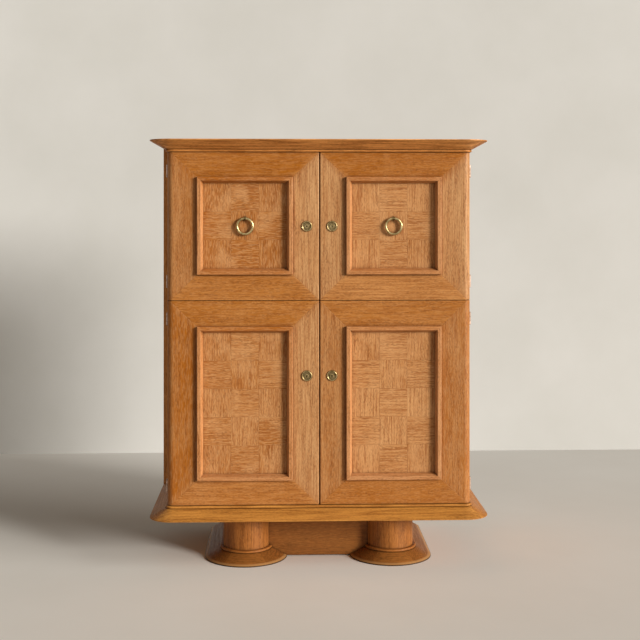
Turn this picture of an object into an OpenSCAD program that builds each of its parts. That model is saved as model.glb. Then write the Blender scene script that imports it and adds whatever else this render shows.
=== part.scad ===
// Oak bar cabinet: four side-hinged doors on a carcass between a flared cornice
// and a flared base slab, carried by two round-fronted pedestals on runners.
// Millimetres. X runs to the right, Y to the back, Z up. The origin lies on the
// floor under the middle of the cabinet.

/* [Cabinet] */
// Overall width across the cornice and the base slab
cabinet_w = 1116; // [960:2:1300]
// Overall height from the floor to the top of the cornice
cabinet_h = 1400; // [1320:5:1600]
// Overall depth from the lip of the base slab to the back
cabinet_d = 525; // [440:5:640]
// Height of the line between the upper and the lower doors
door_split_z = 872; // [800:1:930]

/* [Cornice and base slab] */
// Thickness of the cornice and of the base slab
slab_t = 30; // [24:0.5:42]
// How far the bevelled edge flares out past the bead
flare = 51; // [35:1:70]
// Flat lip left at the thin edge of the bevel
lip_t = 3; // [1:0.5:8]
// Height of the half-round bead beside the doors
bead_h = 9; // [5:0.5:12]
// How far the bead stands out past the faces of the doors
bead_out = 7; // [3:0.5:12]

/* [Carcass] */
// Thickness of the sides and of the fixed boards
board_t = 20; // [16:0.5:26]
// Thickness of the tongues on the ends of the fixed boards
board_tongue_t = 12; // [8:0.5:14]
// Length of those tongues, and depth of their grooves in the sides
board_tongue_l = 6; // [3:0.5:9]
// Thickness of the back panel
back_t = 8; // [5:0.5:12]
// Width of the rebate in each side that the back panel lies in
back_rebate = 10; // [6:0.5:14]
// How far the back panel lies inside the rear edges of the sides
back_inset = 2; // [0:0.5:6]
// Thickness of the shelf
shelf_t = 18; // [14:0.5:24]
// Height of the underside of the shelf above the floor
shelf_z = 530; // [420:5:620]
// Gap between the shelf and each side, and the back panel
shelf_gap = 1; // [0.5:0.5:3]
// How far the shelf lies behind the front edges of the sides
shelf_setback = 22; // [15:1:80]
// Height of the cleats that carry the shelf
cleat_h = 22; // [15:1:35]
// Thickness of the cleats
cleat_t = 15; // [10:1:25]
// Length of the cleats
cleat_l = 340; // [200:5:350]

/* [Feet] */
// Height of the underside of the base slab above the floor
foot_h = 160; // [130:1:200]
// Distance between the middles of the two feet
foot_spacing = 488; // [440:2:600]
// Width of a runner at the floor
runner_w = 277; // [250:1:330]
// Distance from the lip of the base slab back to the tip of a runner
runner_setback = 40; // [10:1:60]
// Width of a pedestal
pedestal_w = 154; // [120:1:170]
// How far the bead at the foot of a pedestal stands out
foot_bead_out = 11; // [4:0.5:14]
// Thickness of the plinth board between the feet
plinth_t = 20; // [16:1:30]
// How far the plinth board stands in front of the middle of the round fronts
plinth_lead = 12; // [0:1:14]

/* [Doors] */
// Thickness of the door frames
door_t = 25; // [22:0.5:32]
// Gap between neighbouring doors
door_gap = 2; // [1:0.1:4]
// Gap above the upper and below the lower doors
door_end_gap = 1.5; // [1:0.1:4]
// Gap between the doors and the front edges of the carcass
door_back_gap = 1; // [0.6:0.1:2]
// Visible width of the rails beside the cornice and the base slab
rail_w = 81; // [70:0.5:100]
// Visible width of the rails at the line between the doors
split_rail_w = 84.5; // [70:0.5:100]
// Visible width of the stiles where two doors meet
meeting_stile_w = 87; // [75:1:100]
// Visible width of the stiles at the hinges
hinge_stile_w = 98; // [80:1:110]
// Width of the plain end of a hinge stile outside its mitre
mitre_heel = 10; // [4:1:20]
// Radius of the outer front edge of a door
door_corner_r = 20; // [12:0.5:21]
// Radius of the front edge where two doors meet
arris_r = 4.5; // [2:0.5:8]

/* [Panels and mouldings] */
// Width of the moulding around a panel
moulding_w = 20; // [16:0.5:28]
// Width of the flat on top of the moulding
moulding_flat = 12.5; // [10:0.5:15]
// How far the moulding stands out past the face of the frame
moulding_proud = 13; // [9:0.5:18]
// How far the moulding laps over the frame
moulding_lap = 10; // [6:0.5:12]
// Radius of the outer edge of the moulding
moulding_edge_r = 2; // [0.5:0.5:4]
// Height of the square foot below the bevel of the moulding
moulding_toe = 2; // [1:0.5:5]
// Hairline between two sticks of moulding at their mitre
mitre_line = 0.1; // [0.05:0.05:0.3]
// How far the panel lies behind the face of the frame
panel_drop = 7.5; // [4:0.5:9]
// Thickness of a panel
panel_t = 10; // [7:0.5:12]
// Width of the panel edge that is held in the groove of the frame
panel_tongue = 7; // [4:0.5:10]
// Gap between the panel edge and the bottom of its groove
groove_gap = 1; // [0.5:0.5:3]
// Squares of parquet across a panel
parquet_columns = 3; // [2:1:5]
// Rows of parquet squares on an upper panel
upper_parquet_rows = 3; // [2:1:5]
// Rows of parquet squares on a lower panel
lower_parquet_rows = 5; // [3:1:7]
// Width of the lines between parquet squares
parquet_line_w = 0.4; // [0.2:0.1:1.5]
// Depth of the lines between parquet squares
parquet_line_depth = 0.3; // [0.1:0.1:1]

/* [Hinges] */
// Diameter of a hinge knuckle
knuckle_d = 10; // [8:0.5:12]
// Length of a hinge
hinge_l = 40; // [30:1:60]
// Distance from the end of a door to the middle of its hinge
hinge_inset = 61; // [45:1:90]
// Diameter of a hinge pin
pin_d = 5; // [4:0.5:6]
// Diameter of the button ends of a hinge pin
pin_button_d = 8; // [6.5:0.5:9]
// Thickness of the button ends of a hinge pin
pin_button_t = 1.5; // [1:0.1:3]
// Width of a hinge leaf, measured from the pin
leaf_w = 18; // [13:0.5:19]
// Thickness of a hinge leaf
leaf_t = 1.5; // [1.2:0.1:2.5]
// Gap between two leaves when the door is shut
leaf_gap = 0.4; // [0.2:0.1:0.6]
// Gap between neighbouring knuckles
knuckle_gap = 0.4; // [0.2:0.1:1]
// Gap around the knuckles in the wood
knuckle_relief = 0.6; // [0.4:0.1:1.5]

/* [Ring pulls] */
// Outer diameter of a ring
ring_d = 60; // [45:1:80]
// Thickness of the wire of a ring
ring_wire_d = 8.5; // [6:0.5:10]
// Distance from the face of the panel to the middle of the ring
ring_stand = 9.5; // [8.5:0.5:16]
// Thickness of the tongue that the ring hangs from
tongue_t = 4.6; // [3:0.2:6]
// Diameter of the round end of the tongue
tongue_d = 10; // [8:0.5:11]
// Gap between the tongue and the cut ends of the ring
tongue_gap = 0.3; // [0.2:0.1:0.6]
// Diameter of the collar of the ring post
collar_d = 13; // [11:0.5:18]
// Thickness of the collar of the ring post
collar_t = 3; // [1.5:0.5:3.5]
// Diameter of the spigot of the ring post in the panel
spigot_d = 6; // [4:0.5:8]
// Diameter of the pivot of a ring
pivot_d = 3; // [2:0.2:4]
// Length of the pivot of a ring
pivot_l = 12; // [9:0.5:14]

/* [Locks] */
// Diameter of a key escutcheon
escutcheon_d = 36; // [30:0.5:46]
// Thickness of the raised rim of an escutcheon
rim_wire_d = 5.5; // [4:0.5:7]
// Thickness of the dished plate of an escutcheon
dish_t = 1.2; // [0.8:0.1:2]
// Diameter of the key nozzle
nozzle_d = 15; // [12:0.5:18]
// How far the key nozzle stands out past the frame
nozzle_proud = 3.6; // [2:0.2:6]
// Diameter of the keyhole
keyhole_d = 4.6; // [3:0.2:6]
// Width of the slot of the keyhole
keyhole_slot_w = 2; // [1:0.2:3]
// Distance from the middle of the keyhole to the end of its slot
keyhole_slot_l = 6; // [4.6:0.2:7]
// Distance from the meeting edge of a door to its keyhole
lock_backset = 40.5; // [34:0.5:46]
// Distance from the top of a lower door down to its keyhole
lower_lock_drop = 247; // [180:1:320]
// Height of a lock case
lock_case_h = 60; // [50:1:75]
// Width of a lock case
lock_case_w = 56; // [52:1:62]
// Thickness of a lock case
lock_case_t = 13; // [11:0.5:14]
// Height of a lock bolt
lock_bolt_h = 12; // [8:0.5:16]
// Thickness of a lock bolt
lock_bolt_t = 6; // [4:0.5:7]
// Length of a lock bolt
lock_bolt_l = 38; // [25:1:42]
// How far a lock bolt moves
lock_throw = 8; // [5:0.5:10]
// Distance from the keyhole up to the middle of the lock bolt
lock_bolt_rise = 17; // [15:0.5:20]
// Height of a strike plate
strike_h = 46; // [34:1:60]
// Width of a strike plate
strike_w = 12; // [9:0.5:12.5]
// Thickness of a strike plate
strike_t = 1.2; // [0.8:0.1:2]

/* [Door bolts] */
// Diameter of the rod of a door bolt
rod_d = 6; // [4:0.5:8]
// How far the drawn rod stands out above its base plate
rod_tip = 4; // [2:0.5:8]
// How far a door bolt moves
rod_throw = 10; // [6:0.5:12]
// Distance from the meeting edge of a door to its bolt
rod_backset = 30; // [20:1:45]
// Distance from the back of the door to the middle of the rod
rod_stand = 8; // [6.5:0.5:12]
// Gap between the shut rod and the board above it
rod_rest_gap = 2; // [1:0.5:4]
// Diameter of the hole in the board that takes the rod
rod_hole_d = 8; // [7:0.5:10]
// Thickness of the base plate of a door bolt
bolt_plate_t = 1.6; // [1:0.1:2.5]
// Width of the base plate of a door bolt
bolt_plate_w = 18; // [14:0.5:24]
// Length of the base plate of a door bolt
bolt_plate_l = 56; // [50:1:60]
// Height of each guide block of a door bolt
guide_h = 10; // [7:0.5:12]
// Width of each guide block of a door bolt
guide_w = 12; // [10:0.5:14]
// Diameter of the finger knob of a door bolt
knob_d = 8; // [6:0.5:10]
// Length of the finger knob of a door bolt
knob_l = 12; // [9:0.5:18]

/* [Hidden] */
$fn = 96;

// Working clearance in radius between a pin or rod and its hole
pin_clearance = 0.05;
// Clearance on each side of a sliding lock bolt
slide_gap = 0.3;
// Overlap of a cutting shape past the surface that it cuts
cut = 1;

// Levels, from the floor up
base_bead_z = foot_h + slab_t;
carcass_z = base_bead_z + bead_h;
cornice_z = cabinet_h - slab_t;
carcass_top_z = cornice_z - bead_h;
divider_z = door_split_z - board_t / 2;

// Planes, from the front to the back
lip_y = -cabinet_d / 2;
rear_y = cabinet_d / 2;
bead_y = lip_y + flare;
face_y = bead_y + bead_out;
door_back_y = face_y + door_t;
front_edge_y = door_back_y + door_back_gap;
hinge_y = (door_back_y + front_edge_y) / 2;
panel_y = face_y + panel_drop;
back_panel_y = rear_y - back_inset - back_t;

// Half widths, from the outside in
bead_half_w = cabinet_w / 2 - flare;
body_half_w = bead_half_w - bead_out;
inner_half_w = body_half_w - board_t;
bead_corner_r = door_corner_r + bead_out;
slab_corner_r = bead_corner_r + flare;

// Feet
runner_tip_y = lip_y + runner_setback;
foot_y = runner_tip_y + runner_w / 2;
foot_bead_z = slab_t;
pedestal_z = slab_t + bead_h;

// Frame of a right-hand door, seen from the front
meeting_x = door_gap / 2;
moulding_x = [meeting_x + meeting_stile_w, body_half_w - hinge_stile_w];
opening_x = [moulding_x[0] + moulding_lap, moulding_x[1] - moulding_lap];
door_mid_x = (moulding_x[0] + moulding_x[1]) / 2;
mitre_x = body_half_w - mitre_heel;
lock_x = meeting_x + lock_backset;
rod_x = meeting_x + rod_backset;
rod_y = door_back_y + rod_stand;
rod_l = rod_tip + bolt_plate_l + rod_throw;
lock_bolt_y = door_back_y - lock_case_t / 2;
nozzle_l = door_t - lock_case_t;

// Ring pulls
ring_r = (ring_d - ring_wire_d) / 2;
ring_y = panel_y - ring_stand;

// Hinges
hinge_z_reach = hinge_l / 2 + pin_button_t + knuckle_relief;
knuckle_l = (hinge_l - 2 * knuckle_gap) / 3;

// Each level of doors: bottom, top, rows of parquet and height of the keyhole
upper_z = [door_split_z + door_gap / 2, carcass_top_z - door_end_gap];
lower_z = [carcass_z + door_end_gap, door_split_z - door_gap / 2];
UPPER = [upper_z[0], upper_z[1], upper_parquet_rows, (upper_z[0] + upper_z[1]) / 2, carcass_top_z - board_t];
LOWER = [lower_z[0], lower_z[1], lower_parquet_rows, lower_z[1] - lower_lock_drop, divider_z];

// Each door: name, level and side, with -1 for the left and 1 for the right
DOORS = [
    ["upper_left", UPPER, -1],
    ["upper_right", UPPER, 1],
    ["lower_left", LOWER, -1],
    ["lower_right", LOWER, 1]
];
LEFT = -1;
RIGHT = 1;
SIDES = [["left", LEFT], ["right", RIGHT]];
LEVELS = [["upper", UPPER], ["lower", LOWER]];

function bottom_z(level) = level[0];
function top_z(level) = level[1];
function parquet_rows(level) = level[2];
function lock_z(level) = level[3];
function board_above_z(level) = level[4];
function hinge_zs(level) = [bottom_z(level) + hinge_inset, top_z(level) - hinge_inset];
function all_hinge_zs() = concat(hinge_zs(UPPER), hinge_zs(LOWER));
function panel_mid_z(level) = (bottom_z(level) + top_z(level)) / 2;
function bottom_rail_w(level) = level == UPPER ? split_rail_w : rail_w;
function top_rail_w(level) = level == UPPER ? rail_w : split_rail_w;
function moulding_z(level) = [bottom_z(level) + bottom_rail_w(level), top_z(level) - top_rail_w(level)];
function moulding_mid_z(level) = (moulding_z(level)[0] + moulding_z(level)[1]) / 2;
function opening_z(level) = [moulding_z(level)[0] + moulding_lap, moulding_z(level)[1] - moulding_lap];
function panel_x() = [opening_x[0] - panel_tongue, opening_x[1] + panel_tongue];
function panel_z(level) = [opening_z(level)[0] - panel_tongue, opening_z(level)[1] + panel_tongue];
function lock_bolt_z(level) = lock_z(level) + lock_bolt_rise;
function bolt_plate_top_z(level) = board_above_z(level) - rod_rest_gap - rod_tip;
function knob_z(level) = bolt_plate_top_z(level) - (bolt_plate_l + rod_throw) / 2;

OAK = "#b0743c";
SHADED_OAK = "#8f5a28";
SLAB_OAK = "#b9782f";
FOOT_OAK = "#9c6437";
RUNNER_OAK = "#7a4a28";
INNER_OAK = "#c08a58";
PLYWOOD = "#a9774a";
BRASS = "#a08850";
STEEL = "#8a8a86";

// Shared shapes

// Places a piece drawn for the right-hand side on either side
module on_side(side) {
    mirror([side < 0 ? 1 : 0, 0, 0]) children();
}

// A box between two corners
module box(low, high) {
    translate(low) cube(high - low);
}

// Extrudes an outline drawn in X and Z from one Y to another
module extrude_y(from_y, to_y) {
    translate([0, to_y, 0]) rotate([90, 0, 0]) linear_extrude(to_y - from_y) children();
}

// A straight board with two rounded front corners. Its front stands at Y = 0.
module round_front_plan(w, d, corner_r) {
    for (side = [LEFT, RIGHT]) translate([side * (w / 2 - corner_r), corner_r]) circle(corner_r);
    translate([-w / 2, corner_r]) square([w, d - corner_r]);
    if (w > 2 * corner_r) translate([corner_r - w / 2, 0]) square([w - 2 * corner_r, corner_r]);
}

// The same board with its front and sides bevelled from a wide face below
// to a narrow face above
module bevelled_board(w, d, corner_r) {
    narrow = w / 2 - flare;
    extrude_y(corner_r, d)
        polygon([
            [-w / 2, 0], [w / 2, 0], [w / 2, lip_t],
            [narrow, slab_t], [-narrow, slab_t], [-w / 2, lip_t]
        ]);
    for (side = [LEFT, RIGHT])
        translate([side * (w / 2 - corner_r), corner_r, 0])
            rotate([0, 0, side < 0 ? 180 : 270]) rotate_extrude(angle = 90)
                polygon([[0, 0], [corner_r, 0], [corner_r, lip_t], [corner_r - flare, slab_t], [0, slab_t]]);
    if (w > 2 * corner_r)
        translate([corner_r - w / 2, 0, 0])
            rotate([90, 0, 90]) linear_extrude(w - 2 * corner_r)
                polygon([[0, 0], [corner_r, 0], [corner_r, slab_t], [flare, slab_t], [0, lip_t]]);
}

// The same board as a thin bead with a half-round front and sides
module bead_board(w, d, corner_r) {
    nose_r = bead_h / 2;
    extrude_y(corner_r, d) bead_section(w);
    for (side = [LEFT, RIGHT])
        translate([side * (w / 2 - corner_r), corner_r, 0])
            rotate([0, 0, side < 0 ? 180 : 270]) rotate_extrude(angle = 90) {
                square([corner_r - nose_r, bead_h]);
                translate([corner_r - nose_r, nose_r]) intersection() {
                    circle(nose_r);
                    translate([0, -nose_r]) square([nose_r, bead_h]);
                }
            }
    if (w > 2 * corner_r)
        translate([corner_r - w / 2, 0, 0])
            rotate([90, 0, 90]) linear_extrude(w - 2 * corner_r) {
                translate([nose_r, 0]) square([corner_r - nose_r, bead_h]);
                translate([nose_r, nose_r]) circle(nose_r);
            }
}

module bead_section(w) {
    nose_r = bead_h / 2;
    translate([nose_r - w / 2, 0]) square([w - bead_h, bead_h]);
    for (side = [LEFT, RIGHT]) translate([side * (w / 2 - nose_r), nose_r]) circle(nose_r);
}

// Cornice and base

module cornice() {
    color(SHADED_OAK) translate([0, lip_y, cabinet_h]) mirror([0, 0, 1])
        bevelled_board(cabinet_w, cabinet_d, slab_corner_r);
}

module cornice_bead() {
    color(SHADED_OAK)
        translate([0, bead_y, carcass_top_z]) bead_board(2 * bead_half_w, rear_y - bead_y, bead_corner_r);
}

module base_slab() {
    color(SLAB_OAK) translate([0, lip_y, foot_h]) bevelled_board(cabinet_w, cabinet_d, slab_corner_r);
}

module base_bead() {
    color(SLAB_OAK)
        translate([0, bead_y, base_bead_z]) bead_board(2 * bead_half_w, rear_y - bead_y, bead_corner_r);
}

// The flared moulding that carries the outline of the cornice and the slab
// down each rear corner. It is mitred to both where their bevels meet it.
module rear_flare(side) {
    bevel_y = rear_y - slab_t;
    fillet_y = bevel_y - bead_h;
    color(SHADED_OAK) difference() {
        on_side(side) translate([0, 0, foot_h]) linear_extrude(cabinet_h - foot_h)
            polygon([
                [body_half_w, rear_y], [cabinet_w / 2, rear_y], [cabinet_w / 2, rear_y - lip_t],
                [bead_half_w, bevel_y], [bead_half_w, fillet_y], [body_half_w, fillet_y]
            ]);
        cornice();
        cornice_bead();
        base_bead();
        base_slab();
    }
}

// Feet

module runner(side) {
    color(RUNNER_OAK) translate([side * foot_spacing / 2, runner_tip_y, 0])
        bevelled_board(runner_w, rear_y - runner_tip_y, runner_w / 2);
}

module pedestal_beads() {
    bead_r = pedestal_w / 2 + foot_bead_out;
    color(FOOT_OAK) for (side = [LEFT, RIGHT])
        translate([side * foot_spacing / 2, foot_y - bead_r, foot_bead_z])
            bead_board(2 * bead_r, rear_y - foot_y + bead_r, bead_r);
}

module pedestal(side) {
    front_y = foot_y - pedestal_w / 2;
    color(FOOT_OAK) translate([side * foot_spacing / 2, front_y, pedestal_z])
        linear_extrude(foot_h - pedestal_z) round_front_plan(pedestal_w, rear_y - front_y, pedestal_w / 2);
}

// The board between the feet, clear of the floor by the lip of the runners and
// scribed to their bevels, the beads and the pedestals
module plinth_board() {
    front_y = foot_y - plinth_lead;
    half_spacing = foot_spacing / 2;
    color(RUNNER_OAK) difference() {
        box([-half_spacing, front_y, lip_t], [half_spacing, front_y + plinth_t, foot_h]);
        pedestal_beads();
        for (side = [LEFT, RIGHT]) {
            runner(side);
            pedestal(side);
        }
    }
}

// Carcass

module carcass_side(side) {
    color(INNER_OAK) on_side(side) difference() {
        box([inner_half_w, front_edge_y, carcass_z], [body_half_w, rear_y, carcass_top_z]);
        for (z = [carcass_z, divider_z, carcass_top_z - board_t]) tongue_groove(z);
        box([inner_half_w - cut, back_panel_y, carcass_z - cut],
            [inner_half_w + back_rebate, rear_y + cut, carcass_top_z + cut]);
        for (z = all_hinge_zs()) {
            knuckle_relief_space(z);
            leaf_space(z, RIGHT);
        }
    }
}

// The groove in the right-hand side that takes the tongue of a fixed board
module tongue_groove(z) {
    low_z = z + (board_t - board_tongue_t) / 2;
    box([inner_half_w - cut, front_edge_y - cut, low_z],
        [inner_half_w + board_tongue_l, back_panel_y, low_z + board_tongue_t]);
}

// A board between the sides, with a tongue along each end
module fixed_board(z) {
    low_z = z + (board_t - board_tongue_t) / 2;
    tongue_half_w = inner_half_w + board_tongue_l;
    box([-inner_half_w, front_edge_y, z], [inner_half_w, back_panel_y, z + board_t]);
    box([-tongue_half_w, front_edge_y, low_z], [tongue_half_w, back_panel_y, low_z + board_tongue_t]);
}

module top_board() {
    color(INNER_OAK) difference() {
        fixed_board(carcass_top_z - board_t);
        rod_hole(UPPER);
    }
}

module divider_board() {
    color(INNER_OAK) difference() {
        fixed_board(divider_z);
        rod_hole(LOWER);
    }
}

module bottom_board() {
    color(INNER_OAK) fixed_board(carcass_z);
}

// The blind hole above a left-hand door that takes the rod of its bolt
module rod_hole(level) {
    depth = rod_throw + rod_rest_gap;
    on_side(LEFT) translate([rod_x, rod_y, board_above_z(level) - cut])
        cylinder(d = rod_hole_d, h = depth + cut);
}

module back_panel() {
    half_w = inner_half_w + back_rebate;
    color(PLYWOOD) box([-half_w, back_panel_y, carcass_z], [half_w, back_panel_y + back_t, carcass_top_z]);
}

module lower_shelf() {
    half_w = inner_half_w - shelf_gap;
    color(INNER_OAK) box(
        [-half_w, front_edge_y + shelf_setback, shelf_z],
        [half_w, back_panel_y - shelf_gap, shelf_z + shelf_t]
    );
}

module shelf_cleats() {
    rear = back_panel_y - shelf_setback;
    color(INNER_OAK) for (side = [LEFT, RIGHT]) on_side(side)
        box([inner_half_w - cleat_t, rear - cleat_l, shelf_z - cleat_h], [inner_half_w, rear, shelf_z]);
}

// Hinges, drawn for the right-hand side

// The space that the knuckles of a hinge need in the wood
module knuckle_relief_space(z) {
    translate([body_half_w, hinge_y, z - hinge_z_reach])
        cylinder(d = knuckle_d + 2 * knuckle_relief, h = 2 * hinge_z_reach);
}

// The bed of a leaf: toward is -1 for the door and 1 for the carcass
module leaf_space(z, toward) {
    near_y = hinge_y;
    far_y = hinge_y + toward * (leaf_gap / 2 + leaf_t);
    box([body_half_w - leaf_w, min(near_y, far_y), z - hinge_l / 2],
        [body_half_w + cut, max(near_y, far_y), z + hinge_l / 2]);
}

// A leaf with its knuckles at the given heights above the middle of the hinge
module hinge_leaf(z, toward, knuckle_starts) {
    inner_y = hinge_y + toward * leaf_gap / 2;
    outer_y = inner_y + toward * leaf_t;
    low_y = min(inner_y, outer_y);
    high_y = max(inner_y, outer_y);
    plate_x = body_half_w - knuckle_d / 2 - knuckle_gap;
    difference() {
        union() {
            box([body_half_w - leaf_w, low_y, z - hinge_l / 2], [plate_x, high_y, z + hinge_l / 2]);
            for (start = knuckle_starts) {
                box([plate_x - cut, low_y, z + start], [body_half_w, high_y, z + start + knuckle_l]);
                translate([body_half_w, hinge_y, z + start]) cylinder(d = knuckle_d, h = knuckle_l);
            }
        }
        translate([body_half_w, hinge_y, z - hinge_l / 2 - cut])
            cylinder(d = pin_d + 2 * pin_clearance, h = hinge_l + 2 * cut);
    }
}

module carcass_hinge_leaves() {
    color(BRASS) for (side = [LEFT, RIGHT], z = all_hinge_zs()) on_side(side)
        hinge_leaf(z, RIGHT, [-hinge_l / 2, hinge_l / 2 - knuckle_l]);
}

module hinge_pins() {
    color(BRASS) for (side = [LEFT, RIGHT], z = all_hinge_zs()) on_side(side)
        translate([body_half_w, hinge_y, z]) rotate_extrude() {
            translate([0, -hinge_l / 2]) square([pin_d / 2, hinge_l]);
            for (end = [-hinge_l / 2 - pin_button_t, hinge_l / 2])
                translate([0, end]) square([pin_button_d / 2, pin_button_t]);
        }
}

module door_hinge_leaves(door) {
    color(BRASS) on_side(door[2]) for (z = hinge_zs(door[1]))
        hinge_leaf(z, LEFT, [-knuckle_l / 2]);
}

// Door frames, drawn for the right-hand side

// The whole thickness of a door with its rounded front edges
module door_envelope(level) {
    corner_x = body_half_w - door_corner_r;
    translate([0, 0, bottom_z(level)]) linear_extrude(top_z(level) - bottom_z(level)) {
        translate([meeting_x + arris_r, face_y]) square([corner_x - meeting_x - arris_r, door_t]);
        translate([meeting_x, face_y + arris_r]) square([corner_x - meeting_x, door_t - arris_r]);
        translate([corner_x, face_y + door_corner_r]) square([door_corner_r, door_t - door_corner_r]);
        translate([meeting_x + arris_r, face_y + arris_r]) circle(arris_r);
        intersection() {
            translate([corner_x, face_y + door_corner_r]) circle(door_corner_r);
            translate([corner_x, face_y]) square([door_corner_r, door_corner_r]);
        }
    }
}

// The part of the door inside an outline drawn in X and Z
module door_member(level) {
    intersection() {
        door_envelope(level);
        extrude_y(face_y - cut, door_back_y + cut) children();
    }
}

// The groove that holds the panel, cut through all four members at once
module panel_groove(level) {
    reach = panel_tongue + groove_gap;
    box([opening_x[0] - reach, panel_y, opening_z(level)[0] - reach],
        [opening_x[1] + reach, panel_y + panel_t, opening_z(level)[1] + reach]);
}

module rails(door) {
    level = door[1];
    color(OAK) on_side(door[2]) difference() {
        for (end = [0, 1]) {
            edge_z = [bottom_z(level), top_z(level)][end];
            inner_z = opening_z(level)[end];
            door_member(level) polygon([
                [meeting_x, edge_z], [mitre_x, edge_z], [opening_x[1], inner_z], [opening_x[0], inner_z]
            ]);
        }
        panel_groove(level);
    }
}

module stiles(door) {
    level = door[1];
    outer_z = [bottom_z(level), top_z(level)];
    inner_z = opening_z(level);
    color(OAK) on_side(door[2]) difference() {
        union() {
            door_member(level) polygon([
                [meeting_x, outer_z[0]], [opening_x[0], inner_z[0]],
                [opening_x[0], inner_z[1]], [meeting_x, outer_z[1]]
            ]);
            door_member(level) polygon([
                [body_half_w, outer_z[0]], [mitre_x, outer_z[0]], [opening_x[1], inner_z[0]],
                [opening_x[1], inner_z[1]], [mitre_x, outer_z[1]], [body_half_w, outer_z[1]]
            ]);
        }
        panel_groove(level);
        for (z = hinge_zs(level)) {
            knuckle_relief_space(z);
            leaf_space(z, LEFT);
        }
        nozzle_hole(level);
        if (door[2] == RIGHT) lock_case_space(level);
        if (door[2] == LEFT) strike_space(level);
    }
}

// Mouldings, drawn around the middle of a panel

// One mitred stick along X with its outer edge up and its back at Y = 0
module moulding_stick(length) {
    body_h = moulding_proud + panel_drop;
    intersection() {
        rotate([90, 0, 90]) translate([0, 0, -length / 2]) linear_extrude(length) {
            polygon([
                [-body_h, -moulding_lap], [-body_h, -moulding_flat],
                [-moulding_toe, -moulding_w], [0, -moulding_w], [0, -moulding_lap]
            ]);
            translate([-body_h, -moulding_lap])
                square([moulding_proud, moulding_lap - moulding_edge_r]);
            translate([-body_h + moulding_edge_r, -moulding_edge_r])
                square([moulding_proud - moulding_edge_r, moulding_edge_r]);
            translate([-body_h + moulding_edge_r, -moulding_edge_r]) circle(moulding_edge_r);
        }
        extrude_y(-body_h - cut, cut) polygon([
            [-length / 2, 0], [length / 2, 0],
            [length / 2 - moulding_w, -moulding_w], [moulding_w - length / 2, -moulding_w]
        ]);
    }
}

module moulding(door) {
    level = door[1];
    w = moulding_x[1] - moulding_x[0];
    h = moulding_z(level)[1] - moulding_z(level)[0];
    color(OAK) on_side(door[2]) translate([door_mid_x, panel_y, moulding_mid_z(level)])
        for (turn = [0:3]) rotate([0, 90 * turn, 0]) {
            across = turn % 2 == 0 ? w : h;
            out = turn % 2 == 0 ? h : w;
            translate([0, 0, out / 2]) moulding_stick(across - sqrt(2) * mitre_line);
        }
}

// Panels with a basket weave of parquet squares

module panel(door) {
    level = door[1];
    x = panel_x();
    z = panel_z(level);
    color(INNER_OAK) on_side(door[2]) difference() {
        box([x[0], panel_y, z[0]], [x[1], panel_y + panel_t, z[1]]);
        parquet_lines(level);
        if (level == UPPER)
            translate([door_mid_x, panel_y - cut, post_z()]) rotate([-90, 0, 0])
                cylinder(d = spigot_d + 2 * pin_clearance, h = panel_t + 2 * cut);
    }
}

// The lines between the squares inside the moulding
module parquet_lines(level) {
    x0 = moulding_x[0] + moulding_w;
    x1 = moulding_x[1] - moulding_w;
    z0 = moulding_z(level)[0] + moulding_w;
    z1 = moulding_z(level)[1] - moulding_w;
    rows = parquet_rows(level);
    half_line = parquet_line_w / 2;
    for (column = [1:parquet_columns - 1]) {
        x = x0 + (x1 - x0) * column / parquet_columns;
        box([x - half_line, panel_y - cut, z0], [x + half_line, panel_y + parquet_line_depth, z1]);
    }
    for (row = [1:rows - 1]) {
        z = z0 + (z1 - z0) * row / rows;
        box([x0, panel_y - cut, z - half_line], [x1, panel_y + parquet_line_depth, z + half_line]);
    }
}

// Ring pulls

// Height of the pivot, so that the ring hangs around the middle of the panel
function post_z() = panel_mid_z(UPPER) + ring_r;

module ring(side) {
    gap_w = tongue_t + 2 * tongue_gap;
    color(BRASS) on_side(side) translate([door_mid_x, ring_y, panel_mid_z(UPPER)]) difference() {
        rotate([90, 0, 0]) rotate_extrude() translate([ring_r, 0]) circle(d = ring_wire_d);
        translate([-gap_w / 2, -ring_wire_d, 0]) cube([gap_w, 2 * ring_wire_d, ring_d]);
        translate([-pivot_l / 2 - tongue_gap, 0, ring_r]) rotate([0, 90, 0])
            cylinder(d = pivot_d + 2 * pin_clearance, h = pivot_l + 2 * tongue_gap);
    }
}

module ring_post(side) {
    color(BRASS) on_side(side) translate([door_mid_x, 0, post_z()]) {
        translate([0, panel_y + panel_t, 0]) rotate([90, 0, 0])
            cylinder(d = spigot_d, h = panel_t + collar_t);
        translate([0, panel_y, 0]) rotate([90, 0, 0]) cylinder(d = collar_d, h = collar_t);
        translate([-tongue_t / 2, ring_y, 0]) rotate([0, 90, 0]) cylinder(d = tongue_d, h = tongue_t);
        box([-tongue_t / 2, ring_y, -tongue_d / 2], [tongue_t / 2, panel_y - collar_t, tongue_d / 2]);
        translate([-pivot_l / 2, ring_y, 0]) rotate([0, 90, 0]) cylinder(d = pivot_d, h = pivot_l);
    }
}

// Escutcheons and locks

// Turns a shape that points up to point out of the door at the keyhole
module at_keyhole(level, y) {
    translate([lock_x, y, lock_z(level)]) rotate([90, 0, 0]) children();
}

module escutcheon(door) {
    rim_r = escutcheon_d / 2 - rim_wire_d / 2;
    color(BRASS) on_side(door[2]) at_keyhole(door[1], face_y) difference() {
        rotate_extrude() {
            square([rim_r, dish_t]);
            intersection() {
                translate([rim_r, dish_t]) circle(d = rim_wire_d);
                square([escutcheon_d / 2, rim_wire_d]);
            }
            translate([0, -nozzle_l]) square([nozzle_d / 2, nozzle_l + nozzle_proud]);
        }
        keyhole(nozzle_l + nozzle_proud + 2 * cut);
    }
}

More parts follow.
